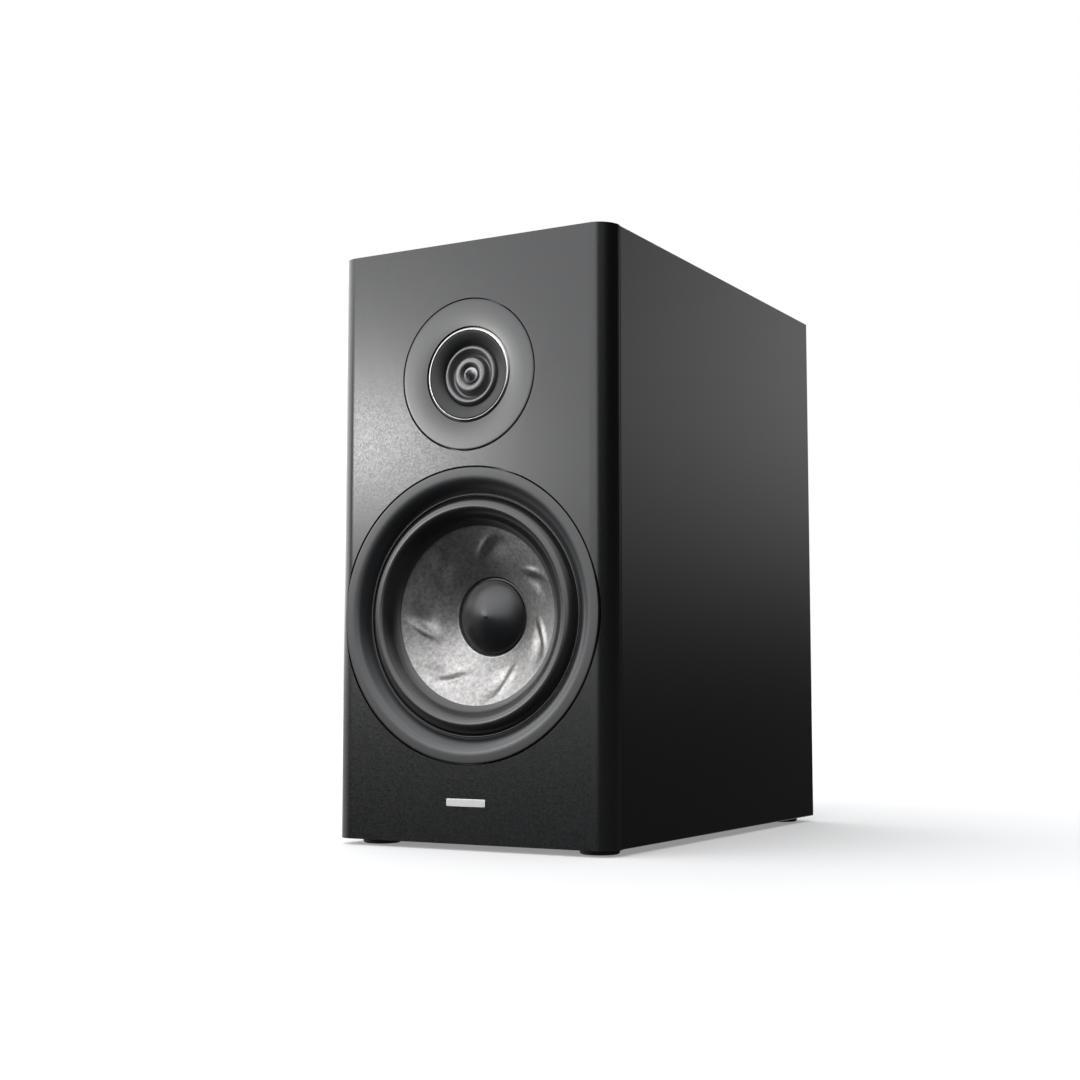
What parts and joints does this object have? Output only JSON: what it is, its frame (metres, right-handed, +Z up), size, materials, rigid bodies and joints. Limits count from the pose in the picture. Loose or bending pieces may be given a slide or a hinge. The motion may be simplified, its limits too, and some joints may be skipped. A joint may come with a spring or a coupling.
{
  "type": "bookshelf speaker",
  "caption": "Two-way bookshelf speaker: rectangular cabinet with rounded front edges, ring tweeter, spiral-creased woofer cone, rear port and binding posts.",
  "frame": {"origin": "middle of the footprint, on the surface that the feet stand on", "axes": "+Z up, the drivers face -Y, +X to the right of a viewer facing the front"},
  "size_m": [0.205, 0.3656, 0.39],
  "materials": {
    "cabinet_foil": "satin black foil on fibreboard, very fine sparkle grain",
    "raw_board": "bare fibreboard",
    "foot_rubber": "matt",
    "badge_metal": "satin, plain bar",
    "driver_ring": "satin black moulded ring",
    "basket_alloy": "black-coated die casting",
    "gasket_foam": "closed-cell foam",
    "surround_rubber": "smooth matt butyl",
    "cone_skin": "mottled silver grey, seven pressed spiral creases",
    "cap_skin": "matt dark dome",
    "former_film": "amber film",
    "coil_copper": "enamelled winding",
    "spider_cloth": "resin-stiffened corrugated cloth",
    "plated_steel": "zinc plated",
    "ferrite": "matt dark ferrite ring",
    "screw_steel": "blackened",
    "tweeter_plate": "smooth satin black",
    "trim_metal": "satin silver",
    "diaphragm_film": "dark grey glossy film",
    "plug_metal": "satin turned",
    "port_plastic": "fine matt black",
    "terminal_plastic": "fine matt black",
    "post_gold": "gold plated",
    "post_cap_black": "black, ribbed",
    "post_cap_red": "red, ribbed",
    "board_laminate": "green laminate",
    "standoff_plastic": "natural nylon",
    "capacitor_film": "dark red film capacitors",
    "resistor_ceramic": "cement block",
    "wire_jacket": "flexible jacket",
    "wadding": "polyester wadding"
  },
  "bodies": {
    "cabinet": {"left_side_panel": "cabinet_foil", "right_side_panel": "cabinet_foil", "top_panel": "cabinet_foil", "bottom_panel": "cabinet_foil", "front_baffle": "cabinet_foil", "rear_panel": "cabinet_foil", "window_brace": "raw_board", "foot_front_left": "foot_rubber", "foot_rear_left": "foot_rubber", "foot_front_right": "foot_rubber", "foot_rear_right": "foot_rubber", "front_badge": "badge_metal", "woofer_trim_ring": "driver_ring", "woofer_basket": "basket_alloy", "woofer_gasket": "gasket_foam", "woofer_screws": "screw_steel", "woofer_surround": "surround_rubber", "woofer_spider": "spider_cloth", "woofer_top_plate": "plated_steel", "woofer_magnet": "ferrite", "woofer_yoke": "plated_steel", "woofer_terminal_strip": "terminal_plastic", "tweeter_faceplate": "tweeter_plate", "tweeter_mounting_flange": "tweeter_plate", "tweeter_screws": "screw_steel", "tweeter_trim_ring": "trim_metal", "tweeter_waveguide": "tweeter_plate", "tweeter_outer_roll": "diaphragm_film", "tweeter_inner_roll": "diaphragm_film", "tweeter_phase_plug": "plug_metal", "tweeter_top_plate": "plated_steel", "tweeter_magnet": "ferrite", "tweeter_yoke": "plated_steel", "tweeter_rear_chamber": "terminal_plastic", "port_tube": "port_plastic", "port_flange": "port_plastic", "terminal_plate": "terminal_plastic", "terminal_plate_screws": "screw_steel", "post_nuts": "plated_steel", "post_stud_left": "post_gold", "post_stud_right": "post_gold", "crossover_board": "board_laminate", "crossover_standoffs": "standoff_plastic", "inductor_large": "coil_copper", "inductor_small": "coil_copper", "crossover_capacitors": "capacitor_film", "crossover_resistor": "resistor_ceramic", "wiring_harness": "wire_jacket", "damping_pad_left": "wadding", "damping_pad_right": "wadding"},
    "woofer_moving_parts": {"woofer_cone": "cone_skin", "woofer_dust_cap": "cap_skin", "woofer_coil_former": "former_film", "woofer_voice_coil": "coil_copper"},
    "tweeter_moving_parts": {"tweeter_voice_coil": "coil_copper"},
    "left_post_washer": {"post_washer_left": "post_gold"},
    "left_post_cap": {"post_cap_left": "post_cap_red"},
    "right_post_washer": {"post_washer_right": "post_gold"},
    "right_post_cap": {"post_cap_right": "post_cap_black"}
  },
  "joints": [
    {"name": "woofer_travel", "type": "slide", "parent": "cabinet", "child": "woofer_moving_parts", "axis": [0, -1, 0], "range_m": [-0.006, 0.006], "stiffness_N_per_m": 1000, "deforming": ["woofer_surround", "woofer_spider"]},
    {"name": "tweeter_travel", "type": "slide", "parent": "cabinet", "child": "tweeter_moving_parts", "axis": [0, -1, 0], "range_m": [-0.0003, 0.0003], "stiffness_N_per_m": 3000, "deforming": ["tweeter_outer_roll", "tweeter_inner_roll"]},
    {"name": "left_post_advance", "type": "slide", "parent": "cabinet", "child": "left_post_washer", "axis": [0, 1, 0], "range_m": [0, 0.005]},
    {"name": "left_post_turn", "type": "hinge", "parent": "left_post_washer", "child": "left_post_cap", "pos_m": [-0.0095, 0.17475, 0.1], "axis": [0, 1, 0], "range_deg": [0, 1800]},
    {"name": "right_post_advance", "type": "slide", "parent": "cabinet", "child": "right_post_washer", "axis": [0, 1, 0], "range_m": [0, 0.005]},
    {"name": "right_post_turn", "type": "hinge", "parent": "right_post_washer", "child": "right_post_cap", "pos_m": [0.0095, 0.17475, 0.1], "axis": [0, 1, 0], "range_deg": [0, 1800]}
  ],
  "couplings": [
    {"joint": "left_post_turn", "follows": "left_post_advance", "rad_per_m": 6283.2},
    {"joint": "right_post_turn", "follows": "right_post_advance", "rad_per_m": 6283.2}
  ]
}
